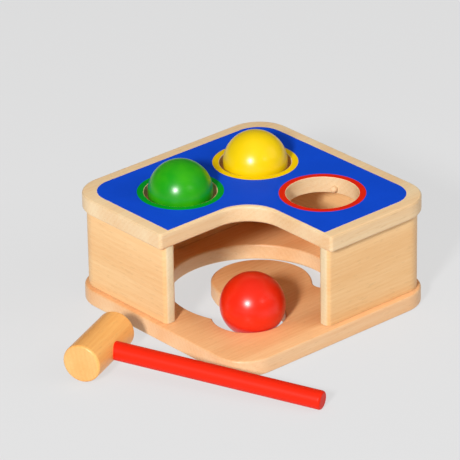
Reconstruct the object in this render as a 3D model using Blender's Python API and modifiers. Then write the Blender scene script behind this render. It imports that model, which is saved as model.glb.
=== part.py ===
"""Wooden pounding bench with rolling balls.

A square top board with its front corner cut away has three round holes. A ball
sits half proud in a hole on three rubber stops until the hammer drives it
through. It lands on the bottom board, where a curved slot carries it on two
rails: the slot widens all the way, so the ball sinks and rolls round to the
round drop hole under the cut-away corner. Units are metres, +Z is up, and the
origin is the middle of the bench on the table. The cut-away corner points to
-X and -Y.
"""

import math

import bmesh
import bpy
from mathutils import Matrix, Vector

MM = 0.001

# Balls, holes and stops
BALL_D = 46.5 * MM
HOLE_PLAY = 2.65 * MM        # ball to hole wall
HOLE_LIP_R = 0.5 * MM        # softened lips of the three top holes
BALL_PROUD = 23.25 * MM      # a held ball's top above the top face
STOP_D = 5.0 * MM            # rubber stop
STOP_GRIP = 8.0 * MM         # length of a stop inside the board
STOP_UP = 0.8 * MM           # stop above the underside of the top board
STOP_COUNT = 3
STOP_TURN = 28.0             # degrees, first stop round from +X

# Lacquered fields, inlaid as thin films
FILM_T = 0.3 * MM
HOLE_RIM = 0.3 * MM          # bare rim between a hole's lip and its ring
RING_W = 4.1 * MM            # coloured ring round a hole
HOLE_LAND = 9.4 * MM         # blue between two neighbouring rings
FIELD_LAND = 16.9 * MM       # blue between a ring and the outer edge of the field
NOTCH_LAND = 11.2 * MM       # blue between a ring and the cut-away
FIELD_MARGIN = 9.3 * MM      # bare wood along the outer edges
FIELD_NOTCH_MARGIN = 2.5 * MM
FIELD_CORNER_R = 20.0 * MM
FIELD_TIP_R = 0.8 * MM
SLOT_RIM = 2.4 * MM          # bare rim between the slot and its red line
SLOT_LINE_W = 3.6 * MM

# Boards and walls
BOARD_T = 12.0 * MM          # thickness of both boards
WALL_H = 60.0 * MM           # clear height between the boards
WALL_T = 10.0 * MM           # thickness of the four walls
OVERHANG = 5.0 * MM          # boards stand out past the walls
CORNER_R = 26.0 * MM         # round corners of the boards
WALL_INNER_R = 6.0 * MM      # inside round where two walls meet
EDGE_R = 1.6 * MM            # softened edges of the boards and the slot
NOTCH_R = 28.0 * MM          # round inside corner of the cut-away
NOTCH_TIP_R = 2.5 * MM       # round tips at the ends of the cut-away
WALL_SETBACK = 1.5 * MM      # front wall ends behind the cut-away's edge
WALL_END_R = 3.5 * MM        # round upright edges of the front wall ends

# Rolling slot in the bottom board
ROLL_CLEAR = 2.4 * MM        # a ball on the narrow part of the slot to the wall beside it
SLOT_NARROW = 18.2 * MM
SLOT_WIDE = 32.5 * MM
SLOT_START = -41.0           # degrees, middle of the narrow round end
WIDEN_FROM = -10.0           # degrees, where the slot starts to widen
WIDEN_TO = 150.0             # degrees, where it is wide
TONGUE_TIP = 9.0 * MM        # reach of the soft tip of the tongue
RED_BALL_TURN = -102.0       # degrees, side of the drop hole that the red ball leans on

# Dowels
DOWEL_D = 6.0 * MM
DOWEL_IN_BOARD = 7.0 * MM
DOWEL_IN_WALL = 14.0 * MM
FRONT_DOWEL_COUNT = 2        # in the upper and in the lower edge of a front wall
BACK_DOWEL_COUNT = 3

# Hammer, lying on the table in front of the left wall
HEAD_D = 28.0 * MM
HEAD_L = 56.7 * MM
HEAD_RIM_R = 1.8 * MM
HANDLE_D = 13.5 * MM
HANDLE_REACH = 168.3 * MM    # head's axis to the handle's end
HANDLE_IN_HEAD = 8.0 * MM    # handle runs past the head's axis
HANDLE_END_R = 1.8 * MM
HAMMER_AWAY = 52.3 * MM      # middle of the head out from the boards' left edge
HAMMER_ALONG = 2.7 * MM      # middle of the head towards the front
HAMMER_TURN = 24.3           # degrees, head's axis round from +X

# Clearances
GAP = 0.3 * MM               # glued and touching faces
END_GAP = 0.5 * MM           # at the bottom of a blind bore
CUT_PAST = 2.0 * MM          # cutters run past the faces that they open

# Facets
ARC_STEP = 10.0              # degrees, round corners
HOLE_FACETS = 36             # holes, rings and the hammer's head
ROD_FACETS = 10              # dowels, stops and their bores
HANDLE_FACETS = 24
BALL_FACETS = 28
RAIL_FACETS = 28             # each rail of the slot
DROP_FACETS = 24             # rim of the drop hole
TIP_FACETS = 5               # tip of the tongue
SLOT_END_FACETS = 10         # narrow end of the slot
WALL_ROUND_FACETS = 3        # upright edges of the walls
LIP_STEPS = (0.0, 45.0, 90.0)

# Sizes that follow
BALL_R = BALL_D / 2
HOLE_R = BALL_R + HOLE_PLAY
RING_IN = HOLE_R + HOLE_LIP_R + HOLE_RIM
RING_OUT = RING_IN + RING_W
HOLE_OFF = RING_OUT + HOLE_LAND / 2
FIELD_REACH = HOLE_OFF + RING_OUT + FIELD_LAND
FIELD_NOTCH_AT = HOLE_OFF - RING_OUT - NOTCH_LAND
HALF = FIELD_REACH + FIELD_MARGIN
NOTCH_AT = FIELD_NOTCH_AT - FIELD_NOTCH_MARGIN
UNDER_TOP = BOARD_T + WALL_H
TOP = UNDER_TOP + BOARD_T
WALL_OUT = HALF - OVERHANG
WALL_IN = WALL_OUT - WALL_T
WALL_MID = WALL_OUT - WALL_T / 2
WALL_CORNER_R = WALL_INNER_R + WALL_T
WALL_FRONT = NOTCH_AT + WALL_SETBACK
BALL_Z = TOP + BALL_PROUD - BALL_R
STOP_R = STOP_D / 2
STOP_Z = UNDER_TOP + STOP_UP + STOP_R
STOP_NOSE = math.sqrt((BALL_R + STOP_R + GAP) ** 2 - (BALL_Z - STOP_Z) ** 2)
SLOT_R = WALL_IN - ROLL_CLEAR - BALL_R + SLOT_NARROW / 2
HOLES = {
    "green": (-HOLE_OFF, HOLE_OFF),
    "yellow": (HOLE_OFF, HOLE_OFF),
    "red": (HOLE_OFF, -HOLE_OFF),
}
DROP_HOLE = (-HOLE_OFF, -HOLE_OFF)

# Finishes: colour, roughness
BEECH = ("EBCFA3", 0.5)
BEECH_WALL = ("EDC08A", 0.5)
BIRCH_DOWEL = ("D8B98C", 0.6)
BLUE = ("1846BE", 0.35)
GREEN = ("17A01C", 0.22)
YELLOW = ("F8D20A", 0.22)
RED = ("E62C18", 0.25)
RUBBER = ("E0B48C", 0.8)
HEAD_WOOD = ("EFB271", 0.5)


def clear_scene():
    """Remove every object that the scene holds."""
    for obj in list(bpy.data.objects):
        bpy.data.objects.remove(obj, do_unlink=True)


def collection(name):
    """A new collection in the scene."""
    made = bpy.data.collections.new(name)
    bpy.context.scene.collection.children.link(made)
    return made


def linear(hex_colour):
    """An sRGB hex colour as linear red, green, blue and alpha."""
    values = [int(hex_colour[i:i + 2], 16) / 255 for i in (0, 2, 4)]
    return [v / 12.92 if v <= 0.04045 else ((v + 0.055) / 1.055) ** 2.4 for v in values] + [1.0]


def paint(mesh, name, colour_and_roughness):
    """Give a mesh its own lacquer, wood or rubber material and smooth round faces."""
    colour, roughness = colour_and_roughness
    material = bpy.data.materials.new(name + "_finish")
    material.use_nodes = True
    shader = material.node_tree.nodes["Principled BSDF"]
    shader.inputs["Base Color"].default_value = linear(colour)
    shader.inputs["Roughness"].default_value = roughness
    shader.inputs["Metallic"].default_value = 0.0
    mesh.materials.append(material)
    mesh.shade_smooth()
    mesh.set_sharp_from_angle(angle=math.radians(35))


def finish(obj, colour_and_roughness):
    """Finish a piece in its colour."""
    paint(obj.data, obj.name, colour_and_roughness)
    return obj


def mesh_object(name, bm, home):
    """A mesh object from a bmesh, with its faces pointing out."""
    bmesh.ops.recalc_face_normals(bm, faces=bm.faces)
    mesh = bpy.data.meshes.new(name)
    bm.to_mesh(mesh)
    bm.free()
    obj = bpy.data.objects.new(name, mesh)
    home.objects.link(obj)
    return obj


def welded(curve_obj, home):
    """The curve object's shape as a closed mesh object of the same name and place."""
    name = curve_obj.name
    bpy.context.view_layer.update()
    depsgraph = bpy.context.evaluated_depsgraph_get()
    mesh = bpy.data.meshes.new_from_object(curve_obj.evaluated_get(depsgraph))
    bm = bmesh.new()
    bm.from_mesh(mesh)
    bpy.data.meshes.remove(mesh)
    bmesh.ops.remove_doubles(bm, verts=bm.verts, dist=1e-6)
    bmesh.ops.dissolve_limit(bm, angle_limit=math.radians(1), verts=bm.verts, edges=bm.edges)
    matrix = curve_obj.matrix_world.copy()
    bpy.data.objects.remove(curve_obj, do_unlink=True)
    obj = mesh_object(name, bm, home)
    obj.matrix_world = matrix
    return obj


def plate(name, loops, low, high, home):
    """A flat piece between two heights: the first outline, less the outlines inside it."""
    curve = bpy.data.curves.new(name, "CURVE")
    curve.dimensions = "2D"
    curve.fill_mode = "BOTH"
    curve.extrude = (high - low) / 2
    for loop in loops:
        spline = curve.splines.new("POLY")
        spline.points.add(len(loop) - 1)
        for point, (x, y) in zip(spline.points, loop):
            point.co = (x, y, 0.0, 1.0)
        spline.use_cyclic_u = True
    obj = bpy.data.objects.new(name, curve)
    home.objects.link(obj)
    obj.location.z = (low + high) / 2
    return welded(obj, home)


def turned(name, profile, steps, home):
    """A turned piece about its own Z from (radius, height) points, top to bottom."""
    bm = bmesh.new()
    points = [bm.verts.new((radius, 0.0, height)) for radius, height in profile]
    for upper, lower in zip(points, points[1:]):
        bm.edges.new((upper, lower))
    mesh = bpy.data.meshes.new(name)
    bm.to_mesh(mesh)
    bm.free()
    obj = bpy.data.objects.new(name, mesh)
    home.objects.link(obj)
    screw = obj.modifiers.new("Turn", "SCREW")
    screw.steps = steps
    screw.render_steps = steps
    screw.use_merge_vertices = True
    screw.merge_threshold = 1e-6
    return obj


def soften(obj, width):
    """Round over the sharp edges of a piece."""
    bevel = obj.modifiers.new("Soften", "BEVEL")
    bevel.width = width
    bevel.segments = 2
    bevel.limit_method = "ANGLE"
    bevel.angle_limit = math.radians(50)
    bevel.use_clamp_overlap = False


def cut(obj, cutter):
    """Take a cutter's shape out of a piece."""
    boolean = obj.modifiers.new(cutter.name, "BOOLEAN")
    boolean.operation = "DIFFERENCE"
    boolean.solver = "EXACT"
    boolean.object = cutter
    cutter.hide_render = True
    cutter.display_type = "WIRE"


def arc(centre, radius, start, end, count):
    """Points on an arc of some facets from one angle in degrees to another, both ends included."""
    angles = [math.radians(start + (end - start) * i / count) for i in range(count + 1)]
    return [(centre[0] + radius * math.cos(a), centre[1] + radius * math.sin(a)) for a in angles]


def circle(centre, radius):
    """Points round a full circle."""
    return arc(centre, radius, 0.0, 360.0, HOLE_FACETS)[:-1]


def rounded(corners):
    """An outline through (x, y, radius) corners, each rounded by its own radius."""
    outline = []
    for i, (x, y, radius) in enumerate(corners):
        here = Vector((x, y))
        back = (Vector(corners[i - 1][:2]) - here).normalized()
        ahead = (Vector(corners[(i + 1) % len(corners)][:2]) - here).normalized()
        half = back.angle(ahead) / 2
        centre = here + (back + ahead).normalized() * (radius / math.sin(half))
        first = here + back * (radius / math.tan(half)) - centre
        last = here + ahead * (radius / math.tan(half)) - centre
        start = math.degrees(math.atan2(first.y, first.x))
        sweep = math.degrees(math.atan2(last.y, last.x)) - start
        sweep = (sweep + 180.0) % 360.0 - 180.0
        outline += arc(centre, radius, start, start + sweep, math.ceil(abs(sweep) / ARC_STEP))
    return outline


def square_outline(reach, radius):
    """A rounded square about the middle of the bench."""
    signs = ((-1, -1), (1, -1), (1, 1), (-1, 1))
    return rounded([(sx * reach, sy * reach, radius) for sx, sy in signs])


def notched_outline(reach, notch_at, radius, notch_radius, tip_radius):
    """The square with its front corner cut away to notch_at on both axes."""
    return rounded([
        (notch_at, -reach, tip_radius),
        (reach, -reach, radius),
        (reach, reach, radius),
        (-reach, reach, radius),
        (-reach, notch_at, tip_radius),
        (notch_at, notch_at, notch_radius),
    ])


def slot_width(angle):
    """Width of the rolling slot at an angle in degrees: the inner rail is a spiral."""
    share = min(1.0, max(0.0, (angle - WIDEN_FROM) / (WIDEN_TO - WIDEN_FROM)))
    return SLOT_NARROW + (SLOT_WIDE - SLOT_NARROW) * share


def polar(radius, angle):
    """The point at a radius and an angle in degrees about the middle of the bench."""
    return (radius * math.cos(math.radians(angle)), radius * math.sin(math.radians(angle)))


def meeting_angles(radius, hole_radius):
    """Where a circle about the middle meets the drop hole: angles about the middle and the hole."""
    apart = math.hypot(*DROP_HOLE)
    towards = math.degrees(math.atan2(DROP_HOLE[1], DROP_HOLE[0])) % 360.0
    swing = math.acos((radius ** 2 + apart ** 2 - hole_radius ** 2) / (2 * radius * apart))
    about_middle = towards - math.degrees(swing)
    x, y = polar(radius, about_middle)
    about_hole = math.degrees(math.atan2(y - DROP_HOLE[1], x - DROP_HOLE[0])) % 360.0
    return about_middle, about_hole


def slot_outline(grow):
    """The rolling slot with its drop hole as one outline, grown outwards by a margin.

    It runs along the outer rail from the narrow end, round the drop hole, round
    the soft tip of the tongue and back along the inner rail.
    """
    outer = SLOT_R + grow
    inner = SLOT_R - SLOT_WIDE - grow
    hole = HOLE_R + grow
    outer_end, hole_start = meeting_angles(outer, hole)
    tip_angle, hole_end = meeting_angles(inner, hole)
    hole_stop = hole_end + 360.0 - math.degrees(TONGUE_TIP / hole)
    inner_start = tip_angle - math.degrees(TONGUE_TIP / inner)
    outline = arc((0.0, 0.0), outer, SLOT_START, outer_end, RAIL_FACETS)
    outline += arc(DROP_HOLE, hole, hole_start, hole_stop, DROP_FACETS)[1:]
    before = Vector(outline[-1])
    tip = Vector(polar(inner, tip_angle))
    after = Vector(polar(inner, inner_start))
    for i in range(1, TIP_FACETS):
        t = i / TIP_FACETS
        point = before * (1 - t) ** 2 + tip * (2 * t * (1 - t)) + after * t ** 2
        outline.append((point.x, point.y))
    for i in range(RAIL_FACETS + 1):
        angle = inner_start + (SLOT_START - inner_start) * i / RAIL_FACETS
        outline.append(polar(SLOT_R - slot_width(angle) - grow, angle))
    end = polar(SLOT_R - SLOT_NARROW / 2, SLOT_START)
    turned_to = SLOT_START + 180.0
    cap = arc(end, SLOT_NARROW / 2 + grow, turned_to, turned_to + 180.0, SLOT_END_FACETS)
    return outline + cap[1:-1]


def wall_end(at, side):
    """The two round upright edges of a square wall end on the -X side, in outline order."""
    level = at - side * WALL_END_R
    inside = (-WALL_IN - WALL_END_R, level)
    outside = (-WALL_OUT + WALL_END_R, level)
    ring = arc(inside, WALL_END_R, 0.0, 90.0 * side, WALL_ROUND_FACETS)
    ring += arc(outside, WALL_END_R, 90.0 * side, 180.0 * side, WALL_ROUND_FACETS)
    return ring if side > 0 else ring[::-1]


def wall_mitre(side):
    """A mitred wall end on the -X side, in outline order, cut on the corner's diagonal."""
    middle = (-WALL_OUT + WALL_CORNER_R, side * (WALL_OUT - WALL_CORNER_R))

    def quarter(radius):
        lean = math.degrees(math.asin(GAP / 2 / radius))
        return arc(middle, radius, 180.0, 180.0 - side * (45.0 - lean), WALL_ROUND_FACETS)

    ring = quarter(WALL_CORNER_R - WALL_T) + quarter(WALL_CORNER_R)[::-1]
    return ring if side > 0 else ring[::-1]


def wall_outline(low_end, high_end):
    """Plan of the wall on the -X side, from low_end to high_end along Y.

    An end given as None is mitred into the round corner that it shares with the
    next wall. Other ends are square with round upright edges.
    """
    high = wall_mitre(1) if high_end is None else wall_end(high_end, 1)
    low = wall_mitre(-1) if low_end is None else wall_end(low_end, -1)
    return high + low


def spun(outline, quarter_turns):
    """An outline turned about the middle of the bench by quarter turns."""
    turn = Matrix.Rotation(math.radians(90.0 * quarter_turns), 2)
    return [tuple(turn @ Vector(point)) for point in outline]


def spread(start, end, count):
    """Evenly spaced places between two ends, half a space in from each."""
    return [start + (end - start) * (i + 0.5) / count for i in range(count)]


def add_rod(bm, place, radius, low, high):
    """Add an upright round rod between two heights."""
    bmesh.ops.create_cone(
        bm, cap_ends=True, segments=ROD_FACETS, radius1=radius, radius2=radius, depth=high - low,
        matrix=Matrix.Translation((*place, (low + high) / 2)))


def rod_bores(name, spans, home):
    """Separate upright round cutters, each span with its places, radius and heights."""
    bm = bmesh.new()
    for places, radius, low, high in spans:
        for x, y in places:
            add_rod(bm, (x, y), radius, low, high)
    return mesh_object(name, bm, home)


def flared(lip, low, high):
    """Heights, upwards, and margins of an opening that flares into a round lip at each end."""
    turns = [math.radians(step) for step in LIP_STEPS]
    lips = [(lip - lip * math.cos(turn), lip - lip * math.sin(turn)) for turn in turns]
    lower = [(low - CUT_PAST, lip)] + [(low + rise, margin) for rise, margin in lips]
    upper = [(high - rise, margin) for rise, margin in reversed(lips)] + [(high + CUT_PAST, lip)]
    return lower + upper


def hole_cutter(name, place, home):
    """Cutter of a round hole through the top board, with soft lips."""
    levels = flared(HOLE_LIP_R, UNDER_TOP, TOP)
    rim = [(HOLE_R + margin, height) for height, margin in reversed(levels)]
    cutter = turned(name, [(0.0, rim[0][1])] + rim + [(0.0, rim[-1][1])], HOLE_FACETS, home)
    cutter.location = (*place, 0.0)
    return cutter


def slot_cutter(name, home):
    """Cutter of the rolling slot: its outline grown by the lip's margin at each height."""
    bm = bmesh.new()
    rings = []
    for height, margin in flared(EDGE_R, 0.0, BOARD_T):
        rings.append([bm.verts.new((x, y, height)) for x, y in slot_outline(margin)])
    for lower, upper in zip(rings, rings[1:]):
        for i in range(len(lower)):
            bm.faces.new((lower[i - 1], lower[i], upper[i], upper[i - 1]))
    bm.faces.new(rings[0])
    bm.faces.new(rings[-1])
    return mesh_object(name, bm, home)


def make_boards(parts, cutters):
    """The notched top board and the slotted bottom board."""
    outline = notched_outline(HALF, NOTCH_AT, CORNER_R, NOTCH_R, NOTCH_TIP_R)
    top = plate("top_board", [outline], UNDER_TOP, TOP, parts)
    soften(top, EDGE_R)
    for colour, place in HOLES.items():
        cut(top, hole_cutter(colour + "_hole_cutter", place, cutters))
    bottom = plate("bottom_board", [square_outline(HALF, CORNER_R)], 0.0, BOARD_T, parts)
    soften(bottom, EDGE_R)
    cut(bottom, slot_cutter("slot_cutter", cutters))
    finish(top, BEECH)
    finish(bottom, BEECH)
    return top, bottom


def make_walls(parts):
    """Four walls, mitred to each other at three corners and open at the cut-away corner."""
    low = BOARD_T + GAP
    high = UNDER_TOP - GAP
    plans = {
        "front_left_wall": spun(wall_outline(WALL_FRONT, None), 0),
        "back_left_wall": spun(wall_outline(None, None), -1),
        "back_right_wall": spun(wall_outline(None, None), -2),
        "front_right_wall": spun(wall_outline(None, -WALL_FRONT), 1),
    }
    walls = {name: plate(name, [plan], low, high, parts) for name, plan in plans.items()}
    for wall in walls.values():
        finish(wall, BEECH_WALL)
    return walls


def dowel_mesh():
    """One dowel standing on its lower end, shared by every dowel of the bench."""
    bm = bmesh.new()
    add_rod(bm, (0.0, 0.0), DOWEL_D / 2, 0.0, DOWEL_IN_BOARD + DOWEL_IN_WALL)
    mesh = bpy.data.meshes.new("dowel")
    bm.to_mesh(mesh)
    bm.free()
    paint(mesh, "dowel", BIRCH_DOWEL)
    return mesh


def make_dowels(parts, cutters, top, bottom, walls):
    """Dowels from each wall up into the top board and down into the bottom board."""
    straight = WALL_OUT - WALL_CORNER_R
    front = spread(WALL_FRONT, straight, FRONT_DOWEL_COUNT)
    back = spread(-straight, straight, BACK_DOWEL_COUNT)
    rows = {
        "front_left_wall": [(-WALL_MID, at) for at in front],
        "back_left_wall": [(at, WALL_MID) for at in back],
        "back_right_wall": [(WALL_MID, at) for at in back],
        "front_right_wall": [(at, -WALL_MID) for at in front],
    }
    every = [place for row in rows.values() for place in row]
    bore = DOWEL_D / 2 + GAP
    wall_depth = DOWEL_IN_WALL + END_GAP
    board_depth = DOWEL_IN_BOARD + END_GAP
    bases = {"bottom": BOARD_T - DOWEL_IN_BOARD, "top": UNDER_TOP - DOWEL_IN_WALL}
    rod = dowel_mesh()
    for name, row in rows.items():
        for level, base in bases.items():
            for number, (x, y) in enumerate(row, 1):
                dowel = bpy.data.objects.new(f"{name}_{level}_dowel_{number}", rod)
                dowel.location = (x, y, base)
                parts.objects.link(dowel)
        bores = rod_bores(name + "_bores", [
            (row, bore, BOARD_T - CUT_PAST, BOARD_T + wall_depth),
            (row, bore, UNDER_TOP - wall_depth, UNDER_TOP + CUT_PAST),
        ], cutters)
        cut(walls[name], bores)
    down = [(every, bore, BOARD_T - board_depth, BOARD_T + CUT_PAST)]
    cut(bottom, rod_bores("bottom_bores", down, cutters))
    up = [(every, bore, UNDER_TOP - CUT_PAST, UNDER_TOP + board_depth)]
    cut(top, rod_bores("top_bores", up, cutters))


def make_stops(parts, cutters, top):
    """Three rubber stops in radial bores round each hole: their noses carry the ball."""
    root = -HOLE_R - STOP_GRIP
    turns = [math.radians(step) for step in LIP_STEPS]
    nose = [(STOP_R * math.sin(turn), -STOP_NOSE + STOP_R * math.cos(turn)) for turn in turns]
    stop_profile = nose + [(STOP_R, root), (0.0, root)]
    mouth = -HOLE_R + CUT_PAST
    bore_r = STOP_R + GAP
    bore_profile = [(0.0, mouth), (bore_r, mouth), (bore_r, root - END_GAP), (0.0, root - END_GAP)]
    for colour, (x, y) in HOLES.items():
        for number in range(STOP_COUNT):
            turn = math.radians(STOP_TURN + 360.0 * number / STOP_COUNT)
            stop = turned(f"{colour}_hole_stop_{number + 1}", stop_profile, ROD_FACETS, parts)
            bore = turned(f"{colour}_stop_bore_{number + 1}", bore_profile, ROD_FACETS, cutters)
            for piece in (stop, bore):
                piece.location = (x, y, STOP_Z)
                piece.rotation_euler = (0.0, math.radians(90), turn + math.pi)
            finish(stop, RUBBER)
            cut(top, bore)


def make_fields(parts, cutters, top, bottom):
    """Lacquered films let into the boards: blue and three rings above, yellow and red below."""

    def top_field(grow):
        return notched_outline(
            FIELD_REACH + grow, FIELD_NOTCH_AT - grow, FIELD_CORNER_R + grow,
            NOTCH_R + FIELD_NOTCH_MARGIN - grow, FIELD_TIP_R + grow)

    def under_field(grow):
        return square_outline(FIELD_REACH + grow, FIELD_CORNER_R + grow)

    depth = FILM_T + GAP
    pocket = [top_field(GAP)] + [circle(centre, RING_IN - GAP) for centre in HOLES.values()]
    cut(top, plate("top_pocket", pocket, TOP - depth, TOP + CUT_PAST, cutters))
    blue_holes = [circle(centre, RING_OUT + GAP) for centre in HOLES.values()]
    blue = plate("blue_field", [top_field(0.0)] + blue_holes, TOP - FILM_T, TOP, parts)
    finish(blue, BLUE)
    ring_colours = {"green": GREEN, "yellow": YELLOW, "red": RED}
    for colour, centre in HOLES.items():
        loops = [circle(centre, RING_OUT), circle(centre, RING_IN)]
        finish(plate(colour + "_hole_ring", loops, TOP - FILM_T, TOP, parts), ring_colours[colour])

    line_out = SLOT_RIM + SLOT_LINE_W
    pocket = [under_field(GAP), slot_outline(SLOT_RIM - GAP)]
    cut(bottom, plate("under_pocket", pocket, -CUT_PAST, depth, cutters))
    loops = [under_field(0.0), slot_outline(line_out + GAP)]
    finish(plate("yellow_field", loops, 0.0, FILM_T, parts), YELLOW)
    loops = [slot_outline(line_out), slot_outline(SLOT_RIM)]
    finish(plate("red_slot_line", loops, 0.0, FILM_T, parts), RED)


def resting_place():
    """Middle of a ball that stands on the table and leans on the soft rim of the drop hole."""
    reach = BALL_R + EDGE_R + GAP
    above = BALL_R - (BOARD_T - EDGE_R)
    shift = HOLE_R + EDGE_R - math.sqrt(reach ** 2 - above ** 2)
    x, y = polar(shift, RED_BALL_TURN)
    return (DROP_HOLE[0] + x, DROP_HOLE[1] + y, BALL_R)


def make_balls(parts):
    """Two balls held half proud in the top holes and one ball standing in the drop hole."""
    places = {
        "green_ball": ((*HOLES["green"], BALL_Z), GREEN),
        "yellow_ball": ((*HOLES["yellow"], BALL_Z), YELLOW),
        "red_ball": (resting_place(), RED),
    }
    rings = BALL_FACETS // 2
    for name, (place, colour) in places.items():
        bm = bmesh.new()
        bmesh.ops.create_uvsphere(bm, u_segments=BALL_FACETS, v_segments=rings, radius=BALL_R)
        ball = mesh_object(name, bm, parts)
        ball.location = place
        finish(ball, colour)


def make_hammer(parts, cutters):
    """A turned head on the table, with a round handle glued into a blind bore across it."""
    head_r = HEAD_D / 2
    handle_r = HANDLE_D / 2
    straight = HANDLE_REACH - HANDLE_END_R
    tilt = math.asin(head_r / math.hypot(straight, handle_r)) - math.atan2(handle_r, straight)
    carrier = bpy.data.objects.new("hammer_axis", None)
    parts.objects.link(carrier)
    carrier.location = (-HALF - HAMMER_AWAY, -HAMMER_ALONG, head_r)
    carrier.rotation_euler = (tilt, 0.0, math.radians(HAMMER_TURN))

    def round_end(radius, edge, end, sign):
        turns = [math.radians(step) for step in LIP_STEPS]
        flat = radius - edge
        points = [(flat + edge * math.sin(t), end - sign * edge * (1 - math.cos(t))) for t in turns]
        return points if sign > 0 else points[::-1]

    half = HEAD_L / 2
    head_profile = [(0.0, half)] + round_end(head_r, HEAD_RIM_R, half, 1)
    head_profile += round_end(head_r, HEAD_RIM_R, -half, -1) + [(0.0, -half)]
    head = turned("hammer_head", head_profile, HOLE_FACETS, parts)
    head.parent = carrier
    head.rotation_euler = (0.0, math.radians(90), 0.0)
    handle_profile = [(0.0, HANDLE_REACH)] + round_end(handle_r, HANDLE_END_R, HANDLE_REACH, 1)
    handle_profile += [(handle_r, -HANDLE_IN_HEAD), (0.0, -HANDLE_IN_HEAD)]
    handle = turned("hammer_handle", handle_profile, HANDLE_FACETS, parts)
    handle.parent = carrier
    handle.rotation_euler = (math.radians(90), 0.0, 0.0)
    bore_profile = [(0.0, HEAD_D), (handle_r + GAP, HEAD_D)]
    bore_profile += [(handle_r + GAP, -HANDLE_IN_HEAD - END_GAP), (0.0, -HANDLE_IN_HEAD - END_GAP)]
    bore = turned("handle_bore", bore_profile, HANDLE_FACETS, cutters)
    bore.parent = carrier
    bore.rotation_euler = (math.radians(90), 0.0, 0.0)
    cut(head, bore)
    finish(head, HEAD_WOOD)
    finish(handle, RED)


def main():
    clear_scene()
    parts = collection("pounding_bench")
    cutters = collection("pounding_bench_cutters")
    top, bottom = make_boards(parts, cutters)
    walls = make_walls(parts)
    make_dowels(parts, cutters, top, bottom, walls)
    make_stops(parts, cutters, top)
    make_fields(parts, cutters, top, bottom)
    make_balls(parts)
    make_hammer(parts, cutters)


main()
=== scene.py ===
import math

import bmesh
import bpy
import numpy as np
from mathutils import Euler, Matrix, Vector
from mathutils.geometry import tessellate_polygon


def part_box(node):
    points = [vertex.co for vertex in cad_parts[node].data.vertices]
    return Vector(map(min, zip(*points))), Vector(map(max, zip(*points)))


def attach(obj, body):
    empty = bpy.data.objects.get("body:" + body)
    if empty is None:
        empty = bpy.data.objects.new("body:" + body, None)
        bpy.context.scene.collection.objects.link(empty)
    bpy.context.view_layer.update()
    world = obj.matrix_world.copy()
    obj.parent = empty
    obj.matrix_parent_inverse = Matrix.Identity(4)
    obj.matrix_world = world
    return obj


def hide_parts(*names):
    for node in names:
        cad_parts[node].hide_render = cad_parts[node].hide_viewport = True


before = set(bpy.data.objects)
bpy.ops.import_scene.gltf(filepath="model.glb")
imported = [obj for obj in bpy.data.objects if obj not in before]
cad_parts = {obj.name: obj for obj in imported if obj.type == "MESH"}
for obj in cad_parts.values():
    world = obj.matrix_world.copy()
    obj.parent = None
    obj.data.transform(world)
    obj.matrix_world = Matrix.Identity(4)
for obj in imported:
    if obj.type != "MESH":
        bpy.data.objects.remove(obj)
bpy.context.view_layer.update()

bl_info = {
    "name": "Pounding Bench",
    "version": (1, 0, 0),
    "blender": (4, 5, 0),
    "location": "View3D > Sidebar > Pounding Bench",
    "description": "Builds the wooden pounding bench with its balls, its hammer and a plain stage",
    "category": "Object",
}

MM = 0.001


def corners(node):
    """A node's lowest and highest corners."""
    return [Vector(corner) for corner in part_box(node)]


def middle(node):
    """Middle of a node's box: half the sum of its two corners."""
    low, high = corners(node)
    return (low + high) / 2


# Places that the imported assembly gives, in metres
TOP_LOW, TOP_HIGH = corners("top_board")
BASE_LOW, BASE_HIGH = corners("bottom_board")
STOP_LOW, STOP_HIGH = corners("green_hole_stop_1")
LACQUERS = ("green", "yellow", "red")
BALL_AT = {name: middle(f"{name}_ball") for name in LACQUERS}
BALL_RADIUS = BALL_AT["green"].z - corners("green_ball")[0].z
HOLE_AT = {name: middle(f"{name}_hole_ring").xy for name in LACQUERS}
FIELD_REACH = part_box("yellow_field")[1][0]
# Direction of the drop hole from the middle, opposite the yellow hole
DROP_TURN = math.radians(225)
STOPS_IN_HOLE = 3
# Share of the head's radius, from its axis, at which the handle starts inside the head
HANDLE_START = 0.3

# Facets along the slot's rails, round the drop hole, at the tongue's tip and at the slot's closed end
RAIL_FACETS, RIM_FACETS, TIP_FACETS, END_FACETS = 150, 90, 14, 30
# Facets of a plate's corner and of a hole, and of the walls' upright edges and outer corners
CORNER_FACETS, HOLE_FACETS, WALL_EDGE_FACETS, WALL_CORNER_FACETS = 20, 128, 8, 14
# Facets round a ball, the hammer's head, its handle and a stop
BALL_FACETS, HEAD_FACETS, HANDLE_FACETS, STOP_FACETS = 144, 144, 72, 24
# Points nearer than this, in metres, are one point, and edges from this angle on stay sharp
MERGE_WITHIN, SHARP_FROM = 1e-7, math.radians(35)

# Roughness of wood under satin lacquer, under oil and left bare
SATIN, OILED, BARE = 0.42, 0.38, 0.6
# Each lacquer's roughness, mirror shine, depth of its orange peel and depth of the grain below it
RING_COAT = (0.45, 0.08, 0.08, 0.5)
BLUE_COAT = (0.5, 0.03, 0.08, 0.5)
UNDERSIDE_COAT = (0.42, 0.2, 0.08, 0.5)
BALL_COAT = (0.29, 0.5, 0.01, 0.0)
HANDLE_COAT = (0.42, 0.15, 0.04, 0.0)
# Widths of beech's growth rings, broad bands of growth, fibres and rays, and how many times their width
# fibres and rays are long
GROWTH_WIDE, BAND_WIDE, FIBRE_WIDE, RAY_WIDE = 3.2 * MM, 22 * MM, 0.9 * MM, 1.0 * MM
FIBRE_LONG, RAY_LONG = 20, 6
# Widths of a sprayed coat's drift of tone, of its orange peel and of the grain lines below it
DRIFT_WIDE, PEEL_WIDE, LINE_WIDE = 18 * MM, 1.5 * MM, 1.1 * MM
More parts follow.
